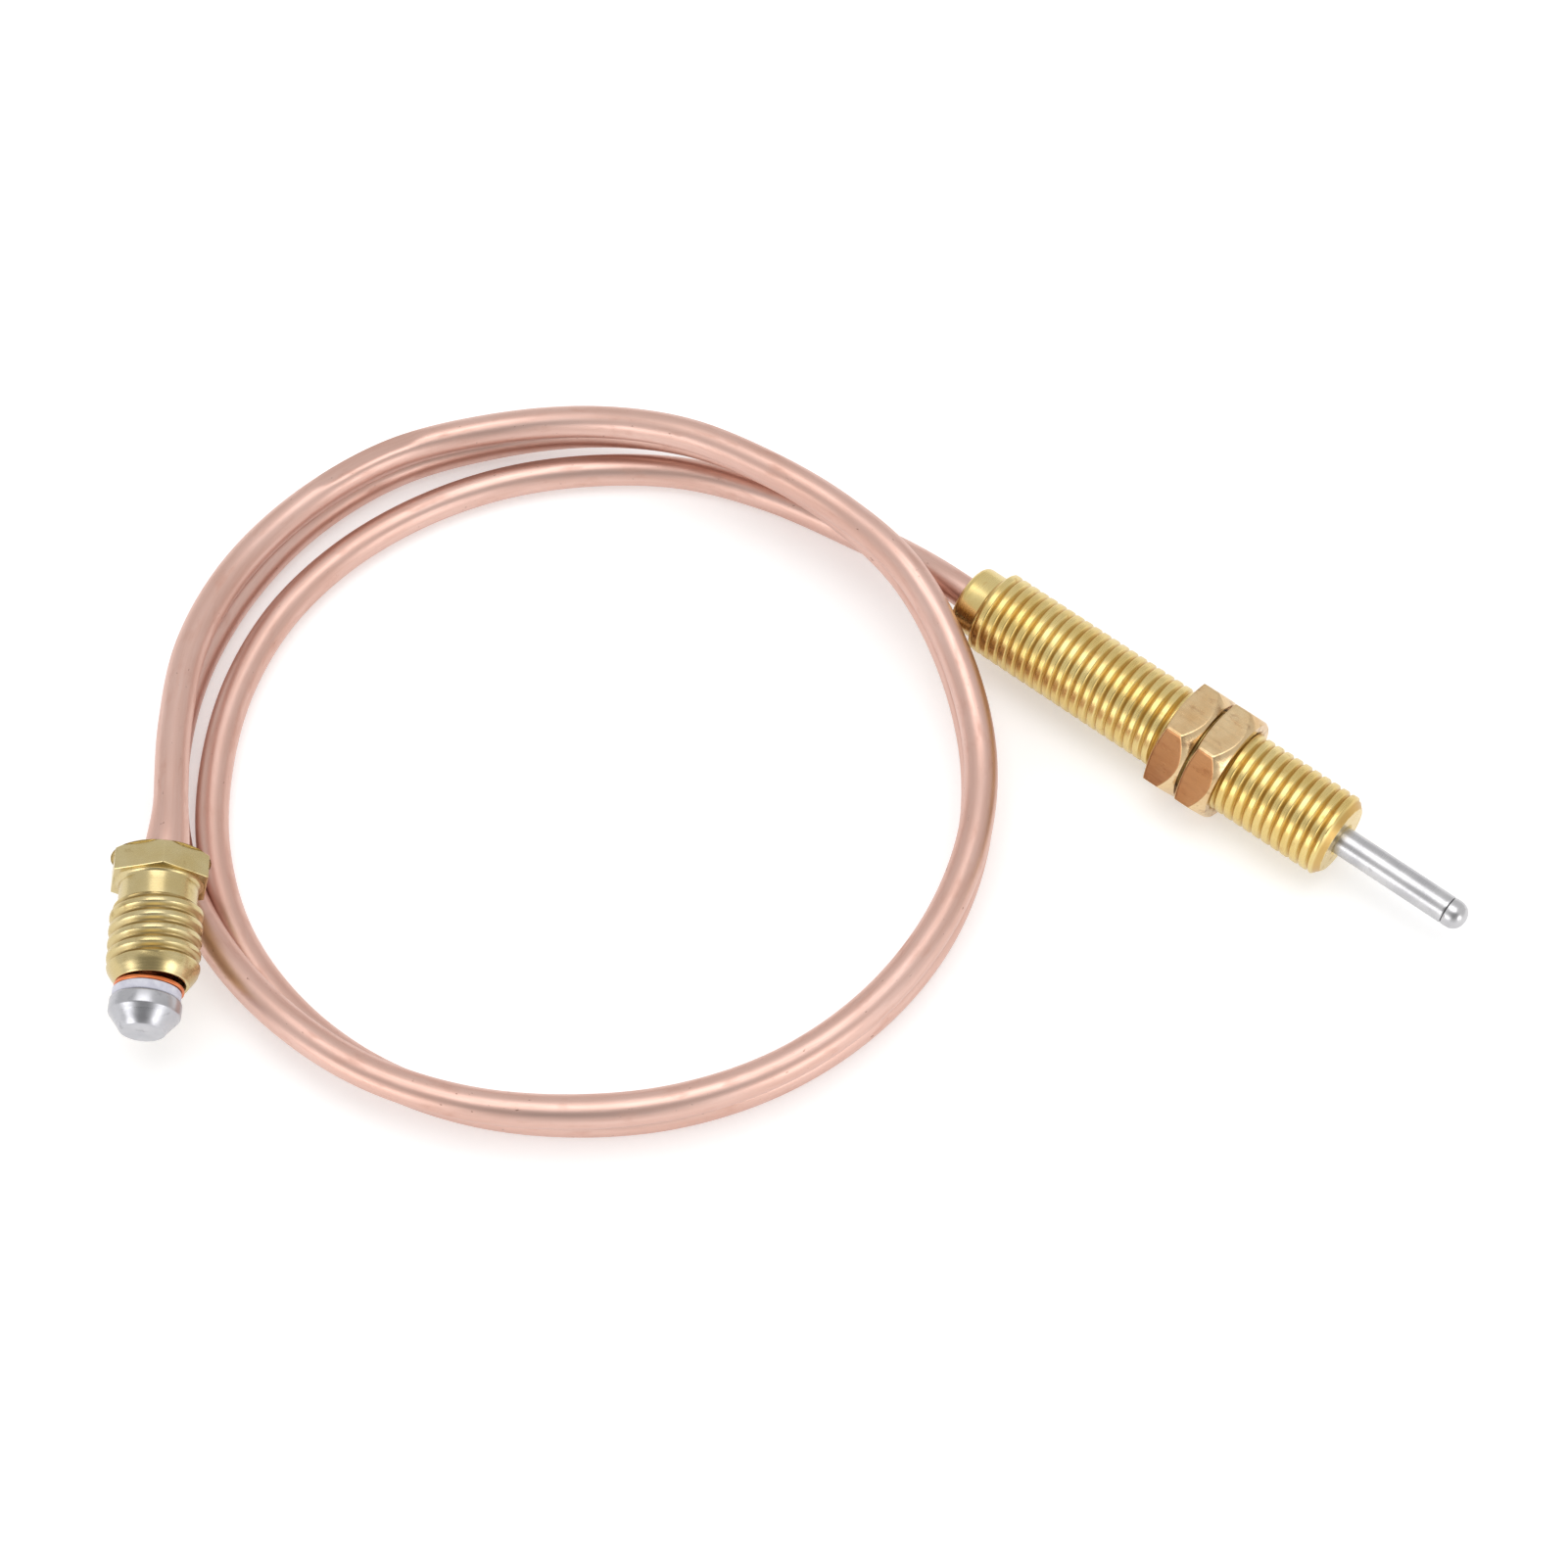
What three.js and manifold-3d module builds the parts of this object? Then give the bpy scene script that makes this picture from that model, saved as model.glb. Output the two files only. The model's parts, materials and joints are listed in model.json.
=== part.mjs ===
// Universal gas-appliance thermocouple: a threaded brass head with a steel hot tip and two lock
// nuts, and a coiled copper lead that ends in a loose union nut and an insulated contact.
// Millimetres, +Z up. The head lies along X on the flats of its lock nuts, tip towards +X.
// The origin is on the resting surface, under the middle of the head.
import * as THREE from 'three';
import { mergeVertices } from 'three/addons/utils/BufferGeometryUtils.js';
import Module from 'manifold-3d';

const wasm = await Module();
wasm.setup();

// ---- driving dimensions: head ----
const AXIS_HEIGHT = 5.0; // half of the lock nuts' width across flats
const HEAD_REAR = -27.0;
const HEAD_TIP = 27.0;
const SLEEVE_RADIUS = 3.95; // M8 x 1 rolled thread, over the crests
const SLEEVE_FRONT = 14.0;
const THREAD_CHAMFER = 0.7;
const COLLAR_RADIUS = 3.15;
const COLLAR_LENGTH = 2.4;
const COLLAR_ROUNDING = 0.6;
const COLLAR_RIM_STEPS = 4;
const LEAD_ENTRY_RADIUS = 1.7;
const LEAD_ENTRY_LENGTH = 7.0;
const CHAMBER_RADIUS = 2.5;
const FRONT_WALL = 2.0;
const TIP_RADIUS = 1.32;
const TIP_BORE_RADIUS = 1.05;
const TIP_TUBE_REAR = -0.6;
const WELD_LENGTH = 1.8;

// ---- driving dimensions: lock nuts ----
const NUT_ACROSS_FLATS = 10.0;
const NUT_THICKNESS = 3.1;
const NUT_FACE_RADIUS = 4.85; // circle left on each face by the corner chamfers
const NUT_REAR_CHAMFER = 20; // degrees from the face
const NUT_FRONT_CHAMFER = 52;
const NUT_GAP = 0.3;
const NUT_GAP_CENTRE = -0.45;
const TRIM_MARGIN = 0.2; // how far a trimming shape reaches past what it trims

// ---- driving dimensions: cold junction inside the sleeve ----
const COUPLING_REAR = -11.0;
const COUPLING_STEP = -1.0;
const COUPLING_FRONT = 2.0;
const COUPLING_RADIUS = 2.4;
const LEAD_END = -7.0;
const SPLICE_REAR = -5.5;
const SPLICE_FRONT = -2.5;
const SPLICE_RADIUS = 0.85;
const SPLICE_COVER_RADIUS = 1.35;
const SPLICE_COVER_OVERHANG = 0.8;
const SLEEVING_RADIUS = 0.95;
const SLEEVING_REAR_GAP = 0.2;
const SLEEVING_FRONT_GAP = 1.5; // short of the weld's heat
const SPLICE_MIDDLE = -4.0;

// ---- driving dimensions: lead ----
const LEAD_RADIUS = 1.5;
const LEAD_BORE_RADIUS = 1.05;
const INSULATION_RADIUS = 0.86;
const WIRE_RADIUS = 0.4;
const WIRE_SWEPT_RADIUS = 0.392; // a touch thinner than its straight tails, so that they join cleanly
const WIRE_TAIL_OVERLAP = 0.5;
const ELEMENT_RADIUS = 0.45;
const LEAD_SIDES = 8;
const LEAD_STEPS = 79;
const CLEARANCE = 0.1; // left between pieces that nest or meet

// ---- driving dimensions: coil of the lead ----
const COIL_CENTRE = new THREE.Vector2(-44.45, -34.42);
const COIL_FIRST_ANGLE = 218.6; // degrees, where the lead joins the coil near the union nut
const COIL_STATION = 30; // degrees between the radii below
const COIL_RADII = [
  35.8, 37.1, 36.9, 34.6, 32.5, 33.7, 35.6, 36.2, 36.2, 35.7, 36.4, 36.8, // first turn, from the union nut
  37.0, 37.1, 37.2, 35.7, 34.1, 34.3, 35.5, 36.1, 35.7, 35.0, 35.0, 34.5, // second turn
  33.0, 32.5, 31.9, 32.3, 33.9, // last part-turn, out to the head
];
const COIL_END = 840; // degrees travelled when the lead leaves the coil
const COIL_STEP = 15;
const FLOOR_LAYER = 1.6; // a little over the lead's radius, so that no dip goes under the surface
const SECOND_LAYER = 4.75;
const CROSSING_LIFT = 3.75; // what the first two turns climb to pass over the lead's way out
const NUT_RISE = 4.2; // what the first turn climbs to reach the union nut

// ---- driving dimensions: union nut and contact, measured along the lead from the flange ----
const UNION_PLACE = new THREE.Vector3(-62.19, -69.39, 9.15); // centre of the flange's front face
const UNION_HEADING = -50.8; // degrees about Z
const UNION_DROOP = 2.5; // degrees, nose down
const CONTACT_YAW = -3; // degrees, how far the lead and contact stand askew in the loose nut
const CONTACT_PIVOT = 4.0; // where their axes cross
const UNION_ACROSS_FLATS = 8.0;
const UNION_CORNER_TILT = 13; // degrees, how far the loose nut has turned from corner up
const UNION_FLANGE = 2.3;
const UNION_FLANGE_FACE_RADIUS = 4.2;
const UNION_CHAMFER = 31; // degrees from the face
const UNION_NECK_RADIUS = 3.4;
const UNION_NECK_END = 2.3;
const UNION_THREAD_START = 2.7;
const UNION_THREAD_RADIUS = 4.0; // M8 x 1.25, over the crests
const UNION_THREAD_END = 7.8;
const UNION_NOSE_RADIUS = 3.1;
const UNION_NOSE_END = 9.5;
const UNION_BORE_RADIUS = 2.6;
const UNION_MOUTH_START = 8.9;
const UNION_MOUTH_RADIUS = 2.95;
const FERRULE_REAR = -5.4;
const FERRULE_TAPER_END = -2.6;
const FERRULE_MOUTH_RADIUS = 1.72;
const FERRULE_RADIUS = 1.98;
const FERRULE_BORE_RADIUS = 1.6;
const FERRULE_SHOULDER = 9.0;
const FERRULE_SHOULDER_RADIUS = 2.5;
const FERRULE_LIP_RADIUS = 2.8;
const FERRULE_LIP_BACK = 9.8;
const FERRULE_FRONT = 10.0;
const LEAD_START = 9.3;
const LEAD_MIDDLE = 2.0;
const WASHER_RADIUS = 2.95;
const WASHER_FRONT = 11.0;
const BUTTON_RADIUS = 3.1;
const BUTTON_SHOULDER = 12.3;
const BUTTON_FRONT = 13.9;
const BUTTON_FLAT_RADIUS = 2.0;
const WIRE_FRONT = 12.2;

const ROUND_SEGMENTS = 32;
const INNER_SEGMENTS = 20;
const FINE_SEGMENTS = 16;
const WELD_STEPS = 6;
const DEG = Math.PI / 180;

// ---- solids ----

function toManifold(geometry) {
  const bare = geometry.clone();
  bare.deleteAttribute('normal');
  bare.deleteAttribute('uv');
  const merged = mergeVertices(bare, 1e-4);
  return new wasm.Manifold(new wasm.Mesh({
    numProp: 3,
    vertProperties: new Float32Array(merged.attributes.position.array),
    triVerts: new Uint32Array(merged.index.array),
  }));
}

function toGeometry(solid) {
  const mesh = solid.getMesh();
  const geometry = new THREE.BufferGeometry();
  geometry.setAttribute('position', new THREE.BufferAttribute(new Float32Array(mesh.vertProperties), 3));
  geometry.setIndex(new THREE.BufferAttribute(new Uint32Array(mesh.triVerts), 1));
  geometry.computeVertexNormals();
  return geometry;
}

// A solid of revolution about X from [x, radius] points, given with x rising along the outside.
function turned(outline, segments = ROUND_SEGMENTS) {
  const closed = [...outline, outline[0]];
  const points = closed.map(([x, r]) => new THREE.Vector2(r, x));
  return new THREE.LatheGeometry(points, segments).rotateZ(-Math.PI / 2);
}

function tube(start, end, outer, inner, segments = INNER_SEGMENTS) {
  return turned([[start, inner], [start, outer], [end, outer], [end, inner]], segments);
}

function rod(start, end, radius, segments = INNER_SEGMENTS) {
  return turned([[start, 0], [start, radius], [end, radius], [end, 0]], segments);
}

function roundedRim(x, radius, rounding) {
  const points = [];
  for (let i = 0; i <= COLLAR_RIM_STEPS; i += 1) {
    const angle = (i / COLLAR_RIM_STEPS) * 90 * DEG;
    points.push([x + rounding * (1 - Math.sin(angle)), radius - rounding * (1 - Math.cos(angle))]);
  }
  return points.reverse();
}

// A hexagonal prism along X with a flat underneath.
function hexPrism(start, end, acrossFlats) {
  const corner = acrossFlats / Math.sqrt(3);
  const shape = new THREE.Shape();
  for (let i = 0; i < 6; i += 1) {
    const angle = i * 60 * DEG;
    const point = [corner * Math.cos(angle), corner * Math.sin(angle)];
    if (i === 0) shape.moveTo(...point);
    else shape.lineTo(...point);
  }
  shape.closePath();
  const geometry = new THREE.ExtrudeGeometry(shape, { depth: end - start, bevelEnabled: false });
  // The shape's X becomes Y and its Y becomes Z, so that the extrusion runs along X.
  return geometry.applyMatrix4(new THREE.Matrix4().set(
    0, 0, 1, start,
    1, 0, 0, 0,
    0, 1, 0, 0,
    0, 0, 0, 1,
  ));
}

// ---- lead route ----

function smoothStep(from, to, value) {
  const t = THREE.MathUtils.clamp((value - from) / (to - from), 0, 1);
  return t * t * (3 - 2 * t);
}

function coilRadius(travelled) {
  const place = travelled / COIL_STATION;
  const index = Math.floor(place);
  const f = place - index;
  const at = (i) => COIL_RADII[THREE.MathUtils.clamp(i, 0, COIL_RADII.length - 1)];
  const [a, b, c, d] = [at(index - 1), at(index), at(index + 1), at(index + 2)];
  return 0.5 * (2 * b + (c - a) * f + (2 * a - 5 * b + 4 * c - d) * f * f
    + (3 * b - a - 3 * c + d) * f * f * f);
}

function coilHeight(travelled) {
  const inTurn = travelled % 360;
  const lift = travelled < 600 ? smoothStep(68, 118, inTurn) * (1 - smoothStep(150, 178, inTurn)) : 0;
  const layerDrop = smoothStep(317, 354, travelled) * (SECOND_LAYER - FLOOR_LAYER);
  const rise = NUT_RISE * (1 - smoothStep(-14, 46, travelled));
  return SECOND_LAYER - layerDrop + rise + CROSSING_LIFT * lift;
}

function coilPoint(travelled) {
  const angle = (COIL_FIRST_ANGLE - travelled) * DEG;
  const radius = coilRadius(travelled);
  return new THREE.Vector3(
    COIL_CENTRE.x + radius * Math.cos(angle),
    COIL_CENTRE.y + radius * Math.sin(angle),
    coilHeight(travelled),
  );
}

const unionFrame = new THREE.Matrix4()
  .makeTranslation(UNION_PLACE)
  .multiply(new THREE.Matrix4().makeRotationZ(UNION_HEADING * DEG))
  .multiply(new THREE.Matrix4().makeRotationY(UNION_DROOP * DEG));
const contactFrame = unionFrame.clone()
  .multiply(new THREE.Matrix4().makeTranslation(CONTACT_PIVOT, 0, 0))
  .multiply(new THREE.Matrix4().makeRotationZ(CONTACT_YAW * DEG))
  .multiply(new THREE.Matrix4().makeTranslation(-CONTACT_PIVOT, 0, 0));

function leadCurve() {
  const points = [LEAD_START, LEAD_MIDDLE, FERRULE_REAR]
    .map((x) => new THREE.Vector3(x, 0, 0).applyMatrix4(contactFrame));
  for (let travelled = 0; travelled <= COIL_END; travelled += COIL_STEP) {
    points.push(coilPoint(travelled));
  }
  points.push(
    new THREE.Vector3(-39.5, 0.75, 1.95),
    new THREE.Vector3(-35.0, 0.75, 3.1),
    new THREE.Vector3(-31.0, 0.3, 4.4),
    new THREE.Vector3(HEAD_REAR, 0, AXIS_HEIGHT),
    new THREE.Vector3(-21.0, 0, AXIS_HEIGHT),
    new THREE.Vector3(LEAD_END, 0, AXIS_HEIGHT),
  );
  return new THREE.CatmullRomCurve3(points, false, 'centripetal');
}

function polygon(radius, target = new THREE.Shape()) {
  for (let i = 0; i < LEAD_SIDES; i += 1) {
    const angle = (i / LEAD_SIDES) * 2 * Math.PI;
    const point = [radius * Math.cos(angle), radius * Math.sin(angle)];
    if (i === 0) target.moveTo(...point);
    else target.lineTo(...point);
  }
  target.closePath();
  return target;
}

const leadPath = leadCurve();

function alongLead(outer, inner = 0) {
  const shape = polygon(outer);
  if (inner > 0) shape.holes.push(polygon(inner, new THREE.Path()));
  return new THREE.ExtrudeGeometry(shape, { steps: LEAD_STEPS, bevelEnabled: false, extrudePath: leadPath });
}

// ---- head pieces, on the X axis ----

function threadedSleeve() {
  const threadStart = HEAD_REAR + COLLAR_LENGTH;
  return turned([
    [HEAD_REAR, LEAD_ENTRY_RADIUS],
    ...roundedRim(HEAD_REAR, COLLAR_RADIUS, COLLAR_ROUNDING),
    [threadStart, COLLAR_RADIUS],
    [threadStart + THREAD_CHAMFER / 2, SLEEVE_RADIUS],
    [SLEEVE_FRONT - THREAD_CHAMFER, SLEEVE_RADIUS],
    [SLEEVE_FRONT, SLEEVE_RADIUS - THREAD_CHAMFER],
    [SLEEVE_FRONT, TIP_RADIUS + CLEARANCE],
    [SLEEVE_FRONT - FRONT_WALL, TIP_RADIUS + CLEARANCE],
    [SLEEVE_FRONT - FRONT_WALL, CHAMBER_RADIUS],
    [HEAD_REAR + LEAD_ENTRY_LENGTH, CHAMBER_RADIUS],
    [HEAD_REAR + LEAD_ENTRY_LENGTH, LEAD_ENTRY_RADIUS],
  ]);
}

function lockNut(start) {
  const end = start + NUT_THICKNESS;
  const corner = NUT_ACROSS_FLATS / Math.sqrt(3) + TRIM_MARGIN;
  const rearChamfer = (corner - NUT_FACE_RADIUS) * Math.tan(NUT_REAR_CHAMFER * DEG);
  const frontChamfer = (corner - NUT_FACE_RADIUS) * Math.tan(NUT_FRONT_CHAMFER * DEG);
  const barrel = turned([
    [start, SLEEVE_RADIUS + CLEARANCE],
    [start, NUT_FACE_RADIUS],
    [start + rearChamfer, corner],
    [end - frontChamfer, corner],
    [end, NUT_FACE_RADIUS],
    [end, SLEEVE_RADIUS + CLEARANCE],
  ]);
  const prism = hexPrism(start - TRIM_MARGIN, end + TRIM_MARGIN, NUT_ACROSS_FLATS);
  return toGeometry(toManifold(prism).intersect(toManifold(barrel)));
}

function hotJunctionWeld() {
  const start = HEAD_TIP - WELD_LENGTH;
  const outline = [[start, 0], [start, TIP_RADIUS]];
  for (let i = 0; i < WELD_STEPS; i += 1) {
    const angle = (i / WELD_STEPS) * 90 * DEG;
    outline.push([HEAD_TIP - TIP_RADIUS + TIP_RADIUS * Math.sin(angle), TIP_RADIUS * Math.cos(angle)]);
  }
  outline.push([HEAD_TIP, 0]);
  return turned(outline, INNER_SEGMENTS);
}

function junctionCoupling() {
  const leadFit = LEAD_RADIUS + CLEARANCE;
  return turned([
    [COUPLING_REAR, leadFit],
    [COUPLING_REAR, COUPLING_RADIUS],
    [COUPLING_FRONT, COUPLING_RADIUS],
    [COUPLING_FRONT, TIP_RADIUS + CLEARANCE],
    [COUPLING_STEP, TIP_RADIUS + CLEARANCE],
    [COUPLING_STEP, leadFit],
  ], INNER_SEGMENTS);
}

// ---- pieces on the end of the lead, along their own X axis from the flange's front face ----

function unionNut() {
  const corner = UNION_ACROSS_FLATS / Math.sqrt(3) + TRIM_MARGIN;
  const chamfer = (corner - UNION_FLANGE_FACE_RADIUS) * Math.tan(UNION_CHAMFER * DEG);
  const hexBarrel = turned([
    [-UNION_FLANGE, 0],
    [-UNION_FLANGE, UNION_FLANGE_FACE_RADIUS],
    [-UNION_FLANGE + chamfer, corner],
    [0, corner],
    [0, 0],
  ]);
  const body = turned([
    [-UNION_FLANGE / 2, 0],
    [-UNION_FLANGE / 2, UNION_NECK_RADIUS],
    [UNION_NECK_END, UNION_NECK_RADIUS],
    [UNION_THREAD_START, UNION_THREAD_RADIUS],
    [UNION_THREAD_END, UNION_THREAD_RADIUS],
    [UNION_NOSE_END, UNION_NOSE_RADIUS],
    [UNION_NOSE_END, 0],
  ]);
  const bore = turned([
    [-UNION_FLANGE - TRIM_MARGIN, 0],
    [-UNION_FLANGE - TRIM_MARGIN, UNION_BORE_RADIUS],
    [UNION_MOUTH_START, UNION_BORE_RADIUS],
    [UNION_NOSE_END, UNION_MOUTH_RADIUS],
    [UNION_NOSE_END + TRIM_MARGIN, UNION_MOUTH_RADIUS],
    [UNION_NOSE_END + TRIM_MARGIN, 0],
  ]);
  const solid = toManifold(hexPrism(-UNION_FLANGE - TRIM_MARGIN, TRIM_MARGIN, UNION_ACROSS_FLATS))
    .intersect(toManifold(hexBarrel))
    .add(toManifold(body))
    .subtract(toManifold(bore));
  return toGeometry(solid).rotateX((30 - UNION_CORNER_TILT) * DEG);
}

function contactFerrule() {
  return turned([
    [FERRULE_REAR, FERRULE_BORE_RADIUS],
    [FERRULE_REAR, FERRULE_MOUTH_RADIUS],
    [FERRULE_TAPER_END, FERRULE_RADIUS],
    [FERRULE_SHOULDER, FERRULE_RADIUS],
    [FERRULE_LIP_BACK, FERRULE_SHOULDER_RADIUS],
    [FERRULE_LIP_BACK, FERRULE_LIP_RADIUS],
    [FERRULE_FRONT, FERRULE_LIP_RADIUS],
    [FERRULE_FRONT, LEAD_BORE_RADIUS],
    [LEAD_START + CLEARANCE, LEAD_BORE_RADIUS],
    [LEAD_START + CLEARANCE, FERRULE_BORE_RADIUS],
  ], INNER_SEGMENTS);
}

function contactButton() {
  const back = WASHER_FRONT + CLEARANCE;
  const wireHole = WIRE_RADIUS + CLEARANCE;
  return turned([
    [back, wireHole],
    [back, BUTTON_RADIUS],
    [BUTTON_SHOULDER, BUTTON_RADIUS],
    [BUTTON_FRONT, BUTTON_FLAT_RADIUS],
    [BUTTON_FRONT, 0],
    [WIRE_FRONT + CLEARANCE, 0],
    [WIRE_FRONT + CLEARANCE, wireHole],
  ], INNER_SEGMENTS);
}

// ---- lead wire: the swept core with a straight tail at each end ----

function leadWire() {
  const contactTail = rod(LEAD_START - WIRE_TAIL_OVERLAP, WIRE_FRONT, WIRE_RADIUS, LEAD_SIDES).applyMatrix4(contactFrame);
  const headTail = rod(LEAD_END - WIRE_TAIL_OVERLAP, SPLICE_MIDDLE - CLEARANCE / 2, WIRE_RADIUS, LEAD_SIDES)
    .translate(0, 0, AXIS_HEIGHT);
  return toGeometry(toManifold(alongLead(WIRE_SWEPT_RADIUS))
    .add(toManifold(contactTail))
    .add(toManifold(headTail)));
}

// ---- materials ----

const finish = (color, roughness, metalness) => new THREE.MeshStandardMaterial({ color, roughness, metalness });
const materials = {
  brass: finish(0xd0b860, 0.3, 1),
  nutBrass: finish(0xc2a26e, 0.28, 1),
  oliveBrass: finish(0xb6a876, 0.32, 1),
  copper: finish(0xdda995, 0.32, 1),
  steel: finish(0x9a9a9e, 0.38, 1),
  tin: finish(0xb2b2b8, 0.35, 1),
  constantan: finish(0xb9ab98, 0.35, 1),
  glassFibre: finish(0xe8e4da, 0.85, 0),
  washer: finish(0xcfcfdc, 0.5, 0),
};

// ---- assembly ----

const thermocouple = new THREE.Group();

function addPiece(parent, name, geometry, material) {
  const mesh = new THREE.Mesh(geometry, material);
  mesh.name = name;
  parent.add(mesh);
  return mesh;
}

const head = new THREE.Group();
head.position.z = AXIS_HEIGHT;
thermocouple.add(head);
const weldStart = HEAD_TIP - WELD_LENGTH;
const elementTube = tube(TIP_TUBE_REAR, weldStart - CLEARANCE, TIP_RADIUS, TIP_BORE_RADIUS);
const elementWire = rod(SPLICE_MIDDLE + CLEARANCE / 2, weldStart - CLEARANCE, ELEMENT_RADIUS, FINE_SEGMENTS);
const elementSleeving = tube(
  TIP_TUBE_REAR + SLEEVING_REAR_GAP,
  weldStart - SLEEVING_FRONT_GAP,
  SLEEVING_RADIUS,
  ELEMENT_RADIUS + CLEARANCE,
  FINE_SEGMENTS,
);
const spliceCover = tube(
  SPLICE_REAR - SPLICE_COVER_OVERHANG,
  SPLICE_FRONT + SPLICE_COVER_OVERHANG,
  SPLICE_COVER_RADIUS,
  SPLICE_RADIUS + CLEARANCE,
  FINE_SEGMENTS,
);
const splice = tube(SPLICE_REAR, SPLICE_FRONT, SPLICE_RADIUS, ELEMENT_RADIUS + CLEARANCE, FINE_SEGMENTS);
const rearNutStart = NUT_GAP_CENTRE - NUT_GAP / 2 - NUT_THICKNESS;
const frontNutStart = NUT_GAP_CENTRE + NUT_GAP / 2;
addPiece(head, 'hot_junction_weld', hotJunctionWeld(), materials.steel);
addPiece(head, 'hot_tip_tube', elementTube, materials.steel);
addPiece(head, 'constantan_element', elementWire, materials.constantan);
addPiece(head, 'tip_insulation', elementSleeving, materials.glassFibre);
addPiece(head, 'junction_coupling', junctionCoupling(), materials.brass);
addPiece(head, 'splice_crimp', splice, materials.brass);
addPiece(head, 'splice_insulation', spliceCover, materials.glassFibre);
addPiece(head, 'threaded_sleeve', threadedSleeve(), materials.brass);
addPiece(head, 'lock_nut_rear', lockNut(rearNutStart), materials.nutBrass);
addPiece(head, 'lock_nut_front', lockNut(frontNutStart), materials.nutBrass);

addPiece(thermocouple, 'lead_tube', alongLead(LEAD_RADIUS, LEAD_BORE_RADIUS), materials.copper);
addPiece(thermocouple, 'lead_insulation', alongLead(INSULATION_RADIUS, WIRE_RADIUS + CLEARANCE), materials.glassFibre);
addPiece(thermocouple, 'lead_wire', leadWire(), materials.copper);

const nutEnd = new THREE.Group();
nutEnd.applyMatrix4(unionFrame);
thermocouple.add(nutEnd);
addPiece(nutEnd, 'union_nut', unionNut(), materials.oliveBrass);

const contactEnd = new THREE.Group();
contactEnd.applyMatrix4(contactFrame);
thermocouple.add(contactEnd);
const washer = tube(FERRULE_FRONT + CLEARANCE, WASHER_FRONT, WASHER_RADIUS, WIRE_RADIUS + CLEARANCE);
addPiece(contactEnd, 'contact_ferrule', contactFerrule(), materials.copper);
addPiece(contactEnd, 'insulating_washer', washer, materials.washer);
addPiece(contactEnd, 'contact_button', contactButton(), materials.tin);

export default thermocouple;
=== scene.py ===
"""The looks of a gas-appliance thermocouple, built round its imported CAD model.

A brass head with rolled threads, two lock nuts and a steel hot tip, a coiled copper lead, and a loose
union nut over an insulated contact. Lengths in the builders below are millimetres; MM turns them into
metres where a mesh is made.
"""

import json
import math

import bmesh
import bpy
from mathutils import Matrix, Vector


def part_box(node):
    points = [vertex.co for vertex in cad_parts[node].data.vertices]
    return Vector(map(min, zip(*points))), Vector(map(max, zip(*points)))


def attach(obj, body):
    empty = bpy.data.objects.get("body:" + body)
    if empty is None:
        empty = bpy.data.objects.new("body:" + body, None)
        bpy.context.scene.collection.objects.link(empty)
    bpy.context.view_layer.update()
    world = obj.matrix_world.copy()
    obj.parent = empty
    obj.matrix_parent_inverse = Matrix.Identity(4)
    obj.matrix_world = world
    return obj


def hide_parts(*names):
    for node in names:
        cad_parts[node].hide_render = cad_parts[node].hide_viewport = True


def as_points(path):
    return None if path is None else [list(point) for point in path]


MM = 0.001
TAU = 2 * math.pi

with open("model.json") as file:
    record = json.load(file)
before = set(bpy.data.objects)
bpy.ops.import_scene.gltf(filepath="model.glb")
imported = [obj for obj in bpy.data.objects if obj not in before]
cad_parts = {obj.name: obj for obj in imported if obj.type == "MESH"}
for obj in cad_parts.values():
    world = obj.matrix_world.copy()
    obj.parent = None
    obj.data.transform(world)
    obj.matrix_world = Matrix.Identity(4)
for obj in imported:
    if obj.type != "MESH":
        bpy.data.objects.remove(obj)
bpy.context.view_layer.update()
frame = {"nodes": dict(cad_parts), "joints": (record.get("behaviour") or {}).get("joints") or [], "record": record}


# ---------------------------------------------------------------- places taken from the frame

def span_x(node):
    """The first and last x of a CAD node on the head's axis, in millimetres."""
    low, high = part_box(node)
    return low.x / MM, high.x / MM


def width_z(node):
    """How high a CAD node is, in millimetres."""
    low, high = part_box(node)
    return (high.z - low.z) / MM


def joint(name):
    return next(j for j in frame["joints"] if j["name"] == name)


def mount(name):
    return next(m for m in frame["record"]["mounts"] if m["name"] == name)


def placed(origin, axis):
    """A frame with its X along axis and its Y level, in metres."""
    x = Vector(axis).normalized()
    y = Vector((0, 0, 1)).cross(x).normalized()
    z = x.cross(y)
    turn = Matrix((x, y, z)).transposed().to_4x4()
    return Matrix.Translation(origin) @ turn


sleeve_low, sleeve_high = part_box("threaded_sleeve")
AXIS_HEIGHT = (sleeve_low.z + sleeve_high.z) / 2 / MM
HEAD_REAR, SLEEVE_FRONT = span_x("threaded_sleeve")
SLEEVE_CREST = width_z("threaded_sleeve") / 2
HEAD_TIP = span_x("hot_junction_weld")[1]
TIP_RADIUS = width_z("hot_tip_tube") / 2
TIP_REAR = span_x("hot_tip_tube")[0]
NUT_ACROSS_FLATS = width_z("lock_nut_rear")

NUT_JOINT_STATION = 4.0  # the union nut's joint is stated this far ahead of its flange
BUTTON_STATION = 13.9  # and the contact's flat end this far
union_axis = Vector(joint("union_nut_spin")["axis"])
contact_axis = Vector(mount("valve_contact_face")["axis"])
UNION_FRAME = placed(
    Vector(joint("union_nut_spin")["pos_m"]) - union_axis * NUT_JOINT_STATION * MM, union_axis)
CONTACT_FRAME = placed(
    Vector(mount("valve_contact_face")["pos_m"]) - contact_axis * BUTTON_STATION * MM, contact_axis)
HEAD_FRAME = Matrix.Translation((0, 0, AXIS_HEIGHT * MM))


# ---------------------------------------------------------------- camera

VIEW_TARGET = Vector((-29.68, -23.88, 0.0)) * MM
VIEW_AZIMUTH = 38.58
VIEW_ELEVATION = 60.0
VIEW_DISTANCE = 330 * MM
VIEW_LENS = 83.85


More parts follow.
